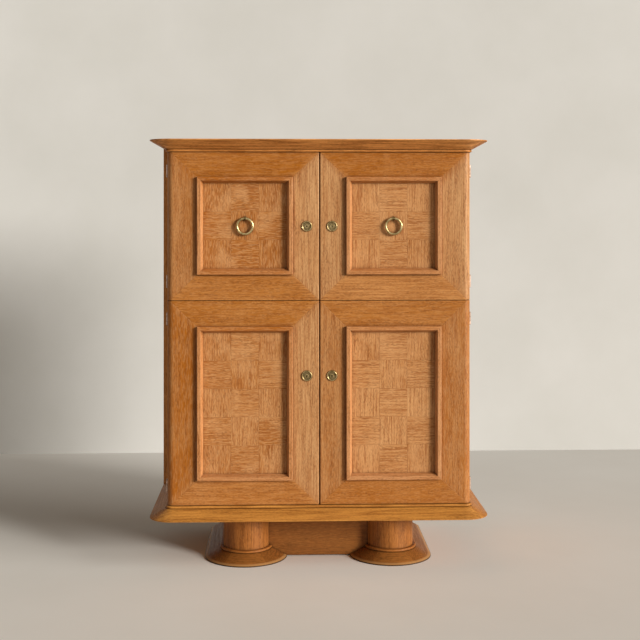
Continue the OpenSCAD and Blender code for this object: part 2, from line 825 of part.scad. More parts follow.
// A keyhole that runs from above the nozzle down through its whole length
module keyhole(depth) {
    translate([0, 0, -nozzle_l - cut]) linear_extrude(depth) {
        circle(d = keyhole_d);
        translate([-keyhole_slot_w / 2, -keyhole_slot_l]) square([keyhole_slot_w, keyhole_slot_l]);
    }
}

module nozzle_hole(level) {
    at_keyhole(level, face_y)
        translate([0, 0, -nozzle_l]) cylinder(d = nozzle_d + 2 * pin_clearance, h = nozzle_l + cut);
}

module lock_case_space(level) {
    box([meeting_x - cut, door_back_y - lock_case_t, lock_z(level) - lock_case_h / 2],
        [meeting_x + lock_case_w, door_back_y + cut, lock_z(level) + lock_case_h / 2]);
}

module lock_bolt_space(level, from_x, to_x) {
    half_h = lock_bolt_h / 2 + slide_gap;
    half_t = lock_bolt_t / 2 + slide_gap;
    box([from_x, lock_bolt_y - half_t, lock_bolt_z(level) - half_h],
        [to_x, lock_bolt_y + half_t, lock_bolt_z(level) + half_h]);
}

module lock_case(level) {
    key_depth = lock_case_t / 2;
    color(STEEL) difference() {
        box([meeting_x, door_back_y - lock_case_t, lock_z(level) - lock_case_h / 2],
            [meeting_x + lock_case_w, door_back_y, lock_z(level) + lock_case_h / 2]);
        lock_bolt_space(level, meeting_x - cut, meeting_x + slide_gap + lock_bolt_l + slide_gap);
        at_keyhole(level, door_back_y - lock_case_t + key_depth)
            linear_extrude(key_depth + cut) {
                circle(d = keyhole_d);
                translate([-keyhole_slot_w / 2, -keyhole_slot_l]) square([keyhole_slot_w, keyhole_slot_l]);
            }
    }
}

module lock_bolt(level) {
    start_x = meeting_x + slide_gap;
    color(BRASS)
        box([start_x, lock_bolt_y - lock_bolt_t / 2, lock_bolt_z(level) - lock_bolt_h / 2],
            [start_x + lock_bolt_l, lock_bolt_y + lock_bolt_t / 2, lock_bolt_z(level) + lock_bolt_h / 2]);
}

// The bed of the strike plate and the mortise behind it
module strike_space(level) {
    half_h = strike_h / 2;
    box([meeting_x - cut, lock_bolt_y - strike_w / 2, lock_bolt_z(level) - half_h],
        [meeting_x + strike_t, lock_bolt_y + strike_w / 2, lock_bolt_z(level) + half_h]);
    lock_bolt_space(level, meeting_x, meeting_x + strike_t + lock_throw);
}

module strike_plate(level) {
    half_h = strike_h / 2;
    color(BRASS) on_side(LEFT) difference() {
        box([meeting_x, lock_bolt_y - strike_w / 2, lock_bolt_z(level) - half_h],
            [meeting_x + strike_t, lock_bolt_y + strike_w / 2, lock_bolt_z(level) + half_h]);
        lock_bolt_space(level, meeting_x - cut, meeting_x + strike_t + cut);
    }
}

// Door bolts on the backs of the left-hand doors

module bolt_plate(level) {
    high_z = bolt_plate_top_z(level);
    low_z = high_z - bolt_plate_l;
    plate_y = door_back_y + bolt_plate_t;
    color(BRASS) on_side(LEFT) difference() {
        union() {
            box([rod_x - bolt_plate_w / 2, door_back_y, low_z], [rod_x + bolt_plate_w / 2, plate_y, high_z]);
            for (z = [low_z, high_z - guide_h]) {
                box([rod_x - guide_w / 2, door_back_y, z], [rod_x + guide_w / 2, rod_y, z + guide_h]);
                translate([rod_x, rod_y, z]) cylinder(d = guide_w, h = guide_h);
            }
        }
        translate([rod_x, rod_y, low_z - cut])
            cylinder(d = rod_d + 2 * pin_clearance, h = bolt_plate_l + 2 * cut);
    }
}

module door_bolt(level) {
    rod_top_z = board_above_z(level) - rod_rest_gap;
    color(BRASS) on_side(LEFT) {
        translate([rod_x, rod_y, rod_top_z - rod_l]) cylinder(d = rod_d, h = rod_l);
        translate([rod_x, rod_y + knob_l, knob_z(level)]) rotate([90, 0, 0]) cylinder(d = knob_d, h = knob_l);
    }
}

// Drawing

cornice();
cornice_bead();
top_board();
back_panel();
divider_board();
bottom_board();
lower_shelf();
shelf_cleats();
base_bead();
base_slab();
plinth_board();
pedestal_beads();
carcass_hinge_leaves();
hinge_pins();

for (side = SIDES) {
    carcass_side(side[1]);
    rear_flare(side[1]);
    pedestal(side[1]);
    runner(side[1]);
    ring(side[1]);
    ring_post(side[1]);
}

for (door = DOORS) {
    stiles(door);
    rails(door);
    moulding(door);
    panel(door);
    escutcheon(door);
    door_hinge_leaves(door);
}

for (level = LEVELS) {
    lock_case(level[1]);
    lock_bolt(level[1]);
    strike_plate(level[1]);
    door_bolt(level[1]);
    bolt_plate(level[1]);
}
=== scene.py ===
import math

import bmesh
import bpy
from mathutils import Matrix, Vector


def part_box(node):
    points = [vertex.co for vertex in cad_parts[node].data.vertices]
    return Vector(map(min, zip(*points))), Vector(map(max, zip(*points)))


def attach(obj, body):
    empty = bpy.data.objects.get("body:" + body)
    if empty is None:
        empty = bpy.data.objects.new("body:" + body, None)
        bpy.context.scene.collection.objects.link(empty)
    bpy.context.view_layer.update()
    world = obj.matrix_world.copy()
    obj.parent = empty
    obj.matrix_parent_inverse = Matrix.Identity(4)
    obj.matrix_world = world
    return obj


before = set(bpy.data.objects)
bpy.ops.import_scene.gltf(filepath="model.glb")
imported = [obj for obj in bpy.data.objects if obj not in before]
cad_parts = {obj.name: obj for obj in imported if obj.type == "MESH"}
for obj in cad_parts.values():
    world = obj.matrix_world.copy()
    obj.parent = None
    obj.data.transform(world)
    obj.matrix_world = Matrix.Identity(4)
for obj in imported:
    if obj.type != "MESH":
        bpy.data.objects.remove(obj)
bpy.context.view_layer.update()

# Millimetre, in the frame's metres
MM = 0.001

LEVELS = ("upper", "lower")
SIDES = ("left", "right")
DOORS = tuple((level, side) for level in LEVELS for side in SIDES)


# Nodes of a material

def linear(code):
    """The linear colour of an sRGB hex value."""
    channels = (int(code[i:i + 2], 16) / 255 for i in (1, 3, 5))
    return (*(c / 12.92 if c <= 0.04045 else ((c + 0.055) / 1.055) ** 2.4 for c in channels), 1)


def pick(sockets, key):
    """The socket with that number, name or identifier."""
    if isinstance(key, int):
        return sockets[key]
    return next(socket for socket in sockets if key in (socket.identifier, socket.name))


def add(tree, kind, inputs=(), out=0, **settings):
    """Adds a node, sets it, fills its inputs with values or links, and returns one output."""
    node = tree.nodes.new("ShaderNode" + kind)
    for name, value in settings.items():
        setattr(node, name, value)
    for key, value in (inputs if isinstance(inputs, dict) else dict(enumerate(inputs))).items():
        if isinstance(value, bpy.types.NodeSocket):
            tree.links.new(value, pick(node.inputs, key))
        else:
            pick(node.inputs, key).default_value = value
    return pick(node.outputs, out) if node.outputs else None


def new_material(name):
    """An empty node material and its tree."""
    material = bpy.data.materials.new(name)
    material.use_nodes = True
    material.node_tree.nodes.clear()
    return material, material.node_tree


def cloud(tree, point, across_mm, along_mm, low, high, detail=2.0):
    """Soft patches that wide and that long along Z, from 0 to 1, cut off at two noise levels."""
    frequency = (1 / (across_mm * MM), 1 / (across_mm * MM), 1 / (along_mm * MM))
    scaled = add(tree, "VectorMath", (point, frequency), operation="MULTIPLY")
    noise = add(tree, "TexNoise", {"Vector": scaled, "Scale": 1.0, "Detail": detail, "Roughness": 0.55})
    return add(tree, "MapRange", {"Value": noise, "From Min": low, "From Max": high})


# Grain of the pieces

# How far the tones of a frame's boards run together to each side of a mitre
MITRE_FADE = 30 * MM
# Metres of wood from one plank of a frame to the next
PLANK_STEP = (0.31, 0.17, 0.73)


def along(tree, point, axis):
    """The point turned so that Z runs along the grain."""
    parts = add(tree, "SeparateXYZ", (point,)).node.outputs
    order = {"X": (2, 1, 0), "Y": (0, 2, 1), "Z": (0, 1, 2)}[axis]
    return add(tree, "CombineXYZ", [parts[i] for i in order])


def crossed_grain(tree, point, axis, turned_axis, turned):
    """The point in grain that runs along one axis, and along another one where it is turned."""
    straight, across = (along(tree, point, each) for each in (axis, turned_axis))
    return add(tree, "Mix", {"Factor_Float": turned, "A_Vector": straight, "B_Vector": across},
               out="Result_Vector", data_type="VECTOR")


# Each layout below gives the place in the wood that a point of the piece is cut from, and the
# tone of the wood there, from 0, deep, to 1, pale. Both move with the piece.

def one_board(axis, tone):
    """A piece with its grain along one axis."""
    def layout(tree):
        return along(tree, add(tree, "TexCoord", out="Object"), axis), tone
    return layout


def frame_tone(tree, point, low, high, tones):
    """Where a point lies on a mitred frame seen from the front: past the mitre, on the right and
    on the upper board, and the tone there, from those of the left, right, lower and upper one."""
    left, right, lower, upper = tones
    offset = add(tree, "VectorMath", (point, (low + high) / 2), operation="SUBTRACT")
    size = add(tree, "VectorMath", (offset,), operation="ABSOLUTE")
    margin = add(tree, "VectorMath", ((high - low) / 2, size), operation="SUBTRACT")
    from_side, _, from_end = add(tree, "SeparateXYZ", (margin,)).node.outputs
    past_mitre = add(tree, "Math", (from_side, from_end), operation="SUBTRACT")
    x, _, z = add(tree, "SeparateXYZ", (offset,)).node.outputs
    on_end, on_right, on_upper = (
        add(tree, "Math", (distance, 0), operation="GREATER_THAN") for distance in (past_mitre, x, z))
    tone = add(tree, "MapRange", {
        "Value": past_mitre, "From Min": -MITRE_FADE, "From Max": MITRE_FADE,
        "To Min": add(tree, "MapRange", {"Value": on_right, "To Min": left, "To Max": right}),
        "To Max": add(tree, "MapRange", {"Value": on_upper, "To Min": lower, "To Max": upper})},
        interpolation_type="SMOOTHSTEP")
    return on_end, on_right, on_upper, tone


def two_boards(axis, low, high, tones):
    """The two boards of a mitred frame along one axis, each from its own plank."""
    def layout(tree):
        point = add(tree, "TexCoord", out="Object")
        _, on_right, on_upper, tone = frame_tone(tree, point, low, high, tones)
        second = on_upper if axis == "X" else on_right
        shifted = add(tree, "VectorMath", {0: second, 1: PLANK_STEP, 2: point},
                      operation="MULTIPLY_ADD")
        return along(tree, shifted, axis), tone
    return layout


def mitred_frame(low, high, tones):
    """Four sticks around a rectangle seen from the front, mitred at its corners."""
    def layout(tree):
        point = add(tree, "TexCoord", out="Object")
        on_end, _, _, tone = frame_tone(tree, point, low, high, tones)
        return crossed_grain(tree, point, "Z", "X", on_end), tone
    return layout


def mitred_slab(low, high, band, left_tone, right_tone, side_tone):
    """A board with a band of grain to the back along each side, mitred to the front, whose tone
    drifts from its left end to its right one: painted light, brighter towards the light on the right."""
    def layout(tree):
        point = add(tree, "TexCoord", out="Object")
        x, y, _ = add(tree, "SeparateXYZ", (point,)).node.outputs
        outwards = add(tree, "Math", (x,), operation="ABSOLUTE")
        from_side = add(tree, "Math", (high.x, outwards), operation="SUBTRACT")
        from_front = add(tree, "Math", (y, low.y), operation="SUBTRACT")
        band_edge = add(tree, "Math", (from_front, band), operation="MINIMUM")
        on_side = add(tree, "Math", (from_side, band_edge), operation="LESS_THAN")
        # The drift from left to right is painted light
        front_tone = add(tree, "MapRange", {
            "Value": x, "From Min": low.x, "From Max": high.x, "To Min": left_tone, "To Max": right_tone})
        tone = add(tree, "MapRange", {"Value": on_side, "To Min": front_tone, "To Max": side_tone})
        return crossed_grain(tree, point, "X", "Y", on_side), tone
    return layout


def round_nose(centre, half_angle, nose_tone, side_tone):
    """A runner: one block across its round front, and grain to the back on both sides of that."""
    def layout(tree):
        point = add(tree, "TexCoord", out="Object")
        offset = add(tree, "VectorMath", (point, centre), operation="SUBTRACT")
        x, y, _ = add(tree, "SeparateXYZ", (offset,)).node.outputs
        sideways = add(tree, "Math", (x,), operation="ABSOLUTE")
        block_edge = add(tree, "Math", (y, -math.tan(half_angle)), operation="MULTIPLY")
        on_side = add(tree, "Math", (sideways, block_edge), operation="GREATER_THAN")
        tone = add(tree, "MapRange", {"Value": on_side, "To Min": nose_tone, "To Max": side_tone})
        return crossed_grain(tree, point, "X", "Y", on_side), tone
    return layout


def basket_weave(low, high, columns, rows, tone, tone_spread):
    """Squares of veneer whose grain runs up and across by turns, with upright corner squares."""
    counts = Vector((columns / (high.x - low.x), 0, rows / (high.z - low.z)))

    def layout(tree):
        point = add(tree, "TexCoord", out="Object")
        offset = add(tree, "VectorMath", (point, low), operation="SUBTRACT")
        counted = add(tree, "VectorMath", (offset, counts), operation="MULTIPLY")
        square = add(tree, "VectorMath", (counted,), operation="FLOOR")
        # A square lies level where its column and its row add up to an odd number
        total = add(tree, "VectorMath", {0: square, 1: (1, 0, 1)}, out="Value", operation="DOT_PRODUCT")
        lying = add(tree, "Math", (total, 2), operation="FLOORED_MODULO")
        grain = crossed_grain(tree, point, "Z", "X", lying)
        # Each square is cut from another place in the veneer
        chance = add(tree, "TexWhiteNoise", {"Vector": square}, out="Color", noise_dimensions="3D")
        grain = add(tree, "VectorMath", (grain, chance), operation="ADD")
        square_tone = add(tree, "MapRange", {
            "Value": add(tree, "SeparateXYZ", (chance,)),
            "To Min": tone - tone_spread, "To Max": tone + tone_spread})
        # A level square looks deeper, because its grain lies across the light
        return grain, add(tree, "Math", {0: lying, 1: -tone_spread, 2: square_tone},
                          operation="MULTIPLY_ADD")
    return layout


# Oak

# Metres of wood from one numbered piece to the next, and from open pores to those full of lime
PIECE_STEP = (0.37, 0.61, 1.93)
LIMED_STEP = (5.1, 3.7, 2.3)
# How much paler or deeper than its tone a board is in broad patches
PATCH_TONE = 0.2
# Growth lines follow this many levels of a broad noise, which sets them about 9 mm apart
GROWTH_LEVELS = 20
# How far edges are rounded by wear, and how far old waxes and painted shade reach out of a corner
EDGE_R = 2 * MM
WAX_AND_SHADE_REACH = 14 * MM
# Marks of a piece that stands on the floor: the heights where its pale lip, rubbed and partly a
# painted highlight, and then its near-black foot, a painted contact shadow, start and are full,
# with their shares and colours
FLOOR_WEAR_AND_PAINTED_LIGHT = ((9 * MM, 6 * MM, 0.6, "#c0905a"), (4 * MM, 3 * MM, 0.9, "#26170a"))


def oak_marks(tree, point):
    """The marks in the grain, each from 0 to 1: growth lines, fine streaks, open pores, and pores
    that are still full of lime."""
    growth = cloud(tree, point, across_mm=80, along_mm=1100, low=0.0, high=1.0)
    growth = add(tree, "Math", (growth, GROWTH_LEVELS), operation="MULTIPLY")
    growth = add(tree, "Math", (growth, 1), operation="PINGPONG")
    growth = add(tree, "MapRange", {"Value": growth, "From Min": 0.45, "From Max": 1.0})
    # Oak's streaks and pores are 0.3 mm wide. These are 3 mm wide, so that they show from the
    # camera. Open pores are twice as strong in the growth lines as between them.
    fine = cloud(tree, point, across_mm=2.6, along_mm=110, low=0.44, high=0.60, detail=1)
    pores = cloud(tree, point, across_mm=2.8, along_mm=9, low=0.51, high=0.62, detail=0)
    strength = add(tree, "Math", {0: growth, 1: 0.5, 2: 0.5}, operation="MULTIPLY_ADD")
    open_pores = add(tree, "Math", (pores, strength), operation="MULTIPLY")
    beside = add(tree, "VectorMath", (point, LIMED_STEP), operation="ADD")
    limed = cloud(tree, beside, across_mm=2.6, along_mm=22, low=0.49, high=0.61, detail=0)
    return growth, fine, open_pores, limed


def edges_and_corners(tree, rounded):
    """Rounded edges, and corners where old waxes and painted shade lie, each from 0 to 1."""
    true_normal = add(tree, "NewGeometry", out="Normal")
    facing = add(tree, "VectorMath", (rounded, true_normal), out="Value", operation="DOT_PRODUCT")
    edge = add(tree, "MapRange", {"Value": facing, "From Min": 0.98, "From Max": 0.80})
    open_sky = add(tree, "AmbientOcclusion", {"Distance": WAX_AND_SHADE_REACH}, out="AO", samples=8)
    corner = add(tree, "MapRange", {"Value": open_sky, "From Min": 0.9, "From Max": 0.3})
    return edge, corner


def oak(name, colours, layout, number, figure=0.25, streaks=0.5, pores=0.35, lime=0.25, bloom=0.12,
        wear=0.15, wax_and_shade=0.75, roughness=0.5, on_floor=False):
    """Waxed oak, planed, with traces of lime in its grain: a warm tan ground, darker growth
    lines, fine dark and pale streaks, and short open pores. Old waxes and painted shade lie dark in
    the corners, lime has left a faint bloom, and rounded edges are worn paler. Low sheen. A piece
    that stands on the floor has a pale band along its lip, partly rubbing and partly a painted
    highlight, and a near-black band at its foot, which is painted contact shadow."""
    material, tree = new_material(name)
    pale, deep, line, pore = (linear(code) for code in colours)
    place = add(tree, "TexCoord", out="Object")
    point, tone = layout(tree)
    point = add(tree, "VectorMath", (point, [step * number for step in PIECE_STEP]), operation="ADD")

    patches = cloud(tree, point, across_mm=60, along_mm=300, low=0.25, high=0.75)
    ground = add(tree, "Math", {0: patches, 1: 2 * PATCH_TONE, 2: -PATCH_TONE},
                 operation="MULTIPLY_ADD")
    ground = add(tree, "Math", (ground, tone), operation="ADD", use_clamp=True)
    colour = add(tree, "Mix", {"Factor_Float": ground, "A_Color": deep, "B_Color": pale},
                 out="Result_Color", data_type="RGBA")
    growth, fine, open_pores, limed = oak_marks(tree, point)
    clouds = cloud(tree, place, across_mm=90, along_mm=90, low=0.50, high=0.70)

    rounded = add(tree, "Bevel", {"Radius": EDGE_R}, samples=6)
    edge, corner = edges_and_corners(tree, rounded)
    # Corners are darkened towards the pore colour: old waxes and painted shade
    coats = [(growth, figure, line), (fine, streaks, line), (limed, lime, pale), (clouds, bloom, pale),
             (open_pores, pores, pore), (edge, wear, pale), (corner, wax_and_shade, pore)]
    # A piece on the floor gets a pale lip, partly rubbing and partly painted highlight, and a black foot
    # of painted contact shadow
    if on_floor:
        height = add(tree, "SeparateXYZ", (place,), out="Z")
        for start, full, share, code in FLOOR_WEAR_AND_PAINTED_LIGHT:
            low_down = add(tree, "MapRange", {"Value": height, "From Min": start, "From Max": full})
            coats.append((low_down, share, linear(code)))
    for mask, share, coat in coats:
        cover = add(tree, "Math", (mask, share), operation="MULTIPLY")
        colour = add(tree, "Mix", {"Factor_Float": cover, "A_Color": colour, "B_Color": coat},
                     out="Result_Color", data_type="RGBA")

    # Pores are sunk. Streaks stand a little proud of the ground and shine less.
    relief = add(tree, "Math", {0: fine, 1: -0.3, 2: open_pores}, operation="MULTIPLY_ADD")
    relief = add(tree, "Math", (relief, -1), operation="MULTIPLY")
    bump = add(tree, "Bump", {"Strength": 0.4, "Distance": 0.3 * MM, "Height": relief, "Normal": rounded})
    sheen = add(tree, "MapRange", {"Value": fine, "To Min": roughness - 0.06, "To Max": roughness + 0.08})
    wood = add(tree, "BsdfPrincipled", {
        "Base Color": colour, "Roughness": sheen, "Normal": bump, "Specular IOR Level": 0.2})
    add(tree, "OutputMaterial", {"Surface": wood})
    return material


# Pale ground, deep ground, growth lines and pores of each wood on the cabinet
STILE_OAK = ("#c79664", "#a45e14", "#8c4b14", "#552a07")
RAIL_OAK = ("#cd9258", "#a35f13", "#8d4d13", "#552a07")
MOULDING_OAK = ("#d59c6b", "#a7611e", "#8f5018", "#552c09")
PARQUET_OAK = ("#d09a65", "#a76425", "#8c4b17", "#5a3009")
CORNICE_OAK = ("#f2aa60", "#b26a28", "#8a501a", "#58330d")
SLAB_OAK = ("#d29243", "#ab6c30", "#8f551c", "#5c360e")
PEDESTAL_OAK = ("#c27f40", "#92551f", "#7a4518", "#4f2d0c")
RUNNER_OAK = ("#aa6d32", "#814c1e", "#643b14", "#422809")
CARCASS_OAK = ("#cf9d62", "#b47d42", "#9b6930", "#744a20")
PLYWOOD_OAK = ("#cba16d", "#b28351", "#9c703b", "#7c582a")


# Brass and steel

# How far edges are rounded, and how far deep tarnish and painted shade reach out of a hollow
METAL_EDGE_R = 0.5 * MM
TARNISH_AND_SHADE_REACH = 4 * MM
DEEP_TARNISH_AND_SHADE = linear("#33240f")
# How many ripples of the surface lie across one patch of tarnish
RIPPLES_PER_PATCH = 5


def aged_metal(name, bright, dull, roughness, patch_mm):
    """Cast or rolled metal, polished long ago: bright, with duller and rougher patches of tarnish,
    and faint ripples. Hollows, and the metal close to other parts, are darkened towards deep brown,
    partly tarnish and partly painted shade. Both colours are the metal's own."""
    material, tree = new_material(name)
    place = add(tree, "TexCoord", out="Object")
    tarnish = cloud(tree, place, patch_mm, patch_mm, low=0.40, high=0.64, detail=5)
    ripple_mm = patch_mm / RIPPLES_PER_PATCH
    ripples = cloud(tree, place, ripple_mm, ripple_mm, low=0.0, high=1.0)
    # Near-black in hollows and next to other parts: partly tarnish, partly painted shade
    open_sky = add(tree, "AmbientOcclusion", {"Distance": TARNISH_AND_SHADE_REACH}, out="AO", samples=8)
    hollow = add(tree, "MapRange", {
        "Value": open_sky, "From Min": 0.97, "From Max": 0.60, "To Max": 0.85})
    colour = add(tree, "Mix", {
        "Factor_Float": tarnish, "A_Color": linear(bright), "B_Color": linear(dull)},
        out="Result_Color", data_type="RGBA")
    colour = add(tree, "Mix", {"Factor_Float": hollow, "A_Color": colour, "B_Color": DEEP_TARNISH_AND_SHADE},
                 out="Result_Color", data_type="RGBA")
    rounded = add(tree, "Bevel", {"Radius": METAL_EDGE_R}, samples=4)
    bump = add(tree, "Bump", {"Strength": 0.2, "Distance": 0.1 * MM, "Height": ripples, "Normal": rounded})
    dullness = add(tree, "MapRange", {"Value": tarnish, "To Min": roughness, "To Max": roughness + 0.16})
    metal = add(tree, "BsdfPrincipled", {
        "Base Color": colour, "Metallic": 1.0, "Roughness": dullness, "Normal": bump})
    add(tree, "OutputMaterial", {"Surface": metal})
    return material


brass = aged_metal("aged polished brass", "#ccb582", "#8d7a50", roughness=0.28, patch_mm=9)
plate_brass = aged_metal("tarnished polished brass", "#b89f70", "#7a673f", roughness=0.30, patch_mm=7)
# The ring posts are dark all over: painted shade for the hole where each ring passes through its post
post_brass = aged_metal("cast brass darkened as painted shade", "#8f7a4c", "#5a4a2c", roughness=0.40, patch_mm=5)
hinge_brass = aged_metal("aged rolled brass", "#c2a592", "#9a8271", roughness=0.52, patch_mm=6)
slot_brass = aged_metal("dark brass in the slots", "#3a2e1c", "#1d160d", roughness=0.6, patch_mm=2)
steel = aged_metal("dull rolled steel", "#a5a29d", "#77736d", roughness=0.42, patch_mm=14)


def dress(node, material):
    """Gives a CAD node its material."""
    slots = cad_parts[node].data.materials
    slots.clear()
    slots.append(material)


# Doors

# Tones of the wood of each door: the left, right, lower and upper board of its frame, the same
# sticks of its moulding, and its parquet
DOOR_TONES = {
    "upper_left": ((0.36, 0.89, 0.29, 0.12), (0.55, 0.55, 0.20, 0.05), 0.16),
    "upper_right": ((0.85, 0.80, 0.53, 0.04), (0.70, 0.70, 0.34, 0.30), 0.57),
    "lower_left": ((0.03, 0.84, 0.38, 0.25), (0.48, 0.48, 0.55, 0.10), 0.35),
    "lower_right": ((0.42, 0.28, 0.18, 0.26), (0.60, 0.60, 0.55, 0.33), 0.67),
}

# Width of the sticks of moulding
MOULDING_W = 20 * MM
# Squares of parquet across and up a panel, and how far their tones spread
PARQUET_COLUMNS = 3
PARQUET_ROWS = {"upper": 3, "lower": 5}
PARQUET_SPREAD = 0.11

# Each piece of oak is numbered, which picks its place in the wood: the doors' stiles from 1, their
# rails from 11, their mouldings from 21, their parquet from 31, and the rest of the cabinet from 50
for number, (level, side) in enumerate(DOORS, 1):
    door = f"{level}_{side}"
    board_tones, stick_tones, parquet_tone = DOOR_TONES[door]
    low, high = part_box(f"{door}_stiles")
    dress(f"{door}_stiles", oak(
        f"waxed oak, {door} stiles", STILE_OAK, two_boards("Z", low, high, board_tones), number))
    dress(f"{door}_rails", oak(
        f"waxed oak, {door} rails", RAIL_OAK, two_boards("X", low, high, board_tones), number + 10))
    low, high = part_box(f"{door}_moulding")
    dress(f"{door}_moulding", oak(
        f"waxed oak, {door} moulding", MOULDING_OAK, mitred_frame(low, high, stick_tones),
        number + 20, figure=0.15, wear=0.35))
    inset = Vector((MOULDING_W, 0, MOULDING_W))
    weave = basket_weave(
        low + inset, high - inset, PARQUET_COLUMNS, PARQUET_ROWS[level], parquet_tone, PARQUET_SPREAD)
    dress(f"{door}_panel", oak(
        f"limed oak, {door} parquet", PARQUET_OAK, weave,
        number + 30, figure=0.05, streaks=0.65, lime=0.45, bloom=0.5))
    dress(f"{door}_escutcheon", plate_brass)
    dress(f"{door}_hinge_leaves", hinge_brass)

for side in SIDES:
    dress(f"{side}_ring", brass)
    dress(f"{side}_ring_post", post_brass)
for level in LEVELS:
    dress(f"{level}_lock_case", steel)
    for piece in ("lock_bolt", "strike_plate", "door_bolt", "bolt_plate"):
        dress(f"{level}_{piece}", brass)


# Cornice and base

# The wood of each flared board, and its tones at the left and at the right end; their rise to the right is
# painted light from the right
FLARED_BOARDS = {
    "cornice": (CORNICE_OAK, 0.44, 1.0),
    "cornice_bead": (CORNICE_OAK, 0.20, 0.35),
    "base_slab": (SLAB_OAK, 0.75, 0.81),
    "base_bead": (SLAB_OAK, 0.65, 0.70),
}
# Width of the band of grain to the back along their sides, and its tone
BAND_W = 75 * MM
BAND_TONE = 0.0

# All four are laid out on the outline of the base slab
slab_low, slab_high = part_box("base_slab")
for number, (node, (colours, left_tone, right_tone)) in enumerate(FLARED_BOARDS.items(), 50):
    layout = mitred_slab(slab_low, slab_high, BAND_W, left_tone, right_tone, BAND_TONE)
    dress(node, oak(f"waxed oak, {node}", colours, layout, number, figure=0.6, streaks=0.6))


# Feet

# How far each way the block at a runner's nose reaches round from straight ahead
NOSE_ANGLE = math.radians(32)

for number, side in enumerate(SIDES, 60):
    low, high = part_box(f"{side}_runner")
    nose_centre = Vector(((low.x + high.x) / 2, low.y + (high.x - low.x) / 2, 0))
    layout = round_nose(nose_centre, NOSE_ANGLE, nose_tone=0.48, side_tone=0.0)
    dress(f"{side}_runner", oak(
        f"dark waxed oak, {side} runner", RUNNER_OAK, layout, number, on_floor=True))
    dress(f"{side}_pedestal", oak(
        f"waxed oak, {side} pedestal", PEDESTAL_OAK, one_board("Z", tone=0.32), number + 2, figure=0.6))
dress("pedestal_beads", oak(
    "waxed oak, pedestal beads", PEDESTAL_OAK, one_board("X", tone=0.15), number=70))
dress("plinth_board", oak(
    "dark waxed oak, plinth", RUNNER_OAK, one_board("X", tone=0.05), number=71, streaks=0.25, pores=0.25))


# Carcass

for number, side in enumerate(SIDES, 64):
    dress(f"{side}_side", oak(
        f"waxed oak, {side} side", STILE_OAK, one_board("Z", tone=0.25), number))
    dress(f"{side}_rear_flare", oak(
        f"waxed oak, {side} rear flare", CORNICE_OAK, one_board("Z", tone=0.25), number + 2))
for number, node in enumerate(("top_board", "divider_board", "bottom_board", "lower_shelf"), 72):
    dress(node, oak(
        f"plain oak, {node}", CARCASS_OAK, one_board("X", tone=0.5), number, roughness=0.6))
dress("shelf_cleats", oak(
    "plain oak, cleats", CARCASS_OAK, one_board("Y", tone=0.5), number=76, roughness=0.6))
dress("back_panel", oak(
    "oak plywood", PLYWOOD_OAK, one_board("Z", tone=0.5), number=77, pores=0.3, roughness=0.7))
dress("carcass_hinge_leaves", hinge_brass)
dress("hinge_pins", hinge_brass)


# Screws

# Slotted countersunk screws with raised heads. The dark fill in a slot stands a hair above the plate.
HEAD_R = 2.4 * MM
CROWN_R = 1.8 * MM
HEAD_PROUD = 0.12 * MM
HEAD_DEPTH = 0.3 * MM
SLOT_W = 0.5 * MM
SLOT_REACH = 0.98 * HEAD_R
SLOT_FILL_PROUD = 0.02 * MM
# The fitter left the slots at odd angles: that of the first, and from each to the next, in radians
FIRST_TURN = 0.5
NEXT_TURN = 0.8

# Height of a hinge leaf, and the planes of the free faces of the doors' and the carcass's leaves
LEAF_H = 40 * MM
DOOR_LEAF_Y = -179.2 * MM
CARCASS_LEAF_Y = -178.8 * MM
# Screws of a leaf, from the middle of the cabinet and from the leaf's foot
LEAF_SCREWS = ((488 * MM, 7 * MM), (490 * MM, 20 * MM), (488 * MM, 33 * MM))
# Plane of the free face of a bolt's plate, which has its screws between its two guides
BOLT_PLATE_Y = -177.9 * MM
# From the edges of a plate to its screws
BOLT_MARGIN_X = 2.6 * MM
BOLT_MARGIN_Z = 15 * MM
LOCK_MARGIN = 6 * MM
STRIKE_MARGIN = 6 * MM

OUT_BACK = Vector((0, 1, 0))
OUT_FRONT = Vector((0, -1, 0))
OUT_RIGHT = Vector((1, 0, 0))


def add_prism(mesh, rings, material_index):
    """A closed solid through rings of points, each with the same number of points."""
    loops = [[mesh.verts.new(point) for point in ring] for ring in rings]
    faces = [mesh.faces.new(loops[0]), mesh.faces.new(loops[-1])]
    for below, above in zip(loops, loops[1:]):
        for i, (a, b) in enumerate(zip(below, above)):
            j = (i + 1) % len(below)
            faces.append(mesh.faces.new((a, below[j], above[j], b)))
    for face in faces:
        face.material_index = material_index


def half_disc(radius, side, height, turn, steps=8):
    """Half of a round head beside the slot, as a ring of points."""
    start = math.asin(SLOT_W / 2 / radius)
    points = []
    for i in range(steps + 1):
        angle = start + (math.pi - 2 * start) * i / steps
        points.append(turn @ Vector((radius * math.cos(angle), side * radius * math.sin(angle), height)))
    return points


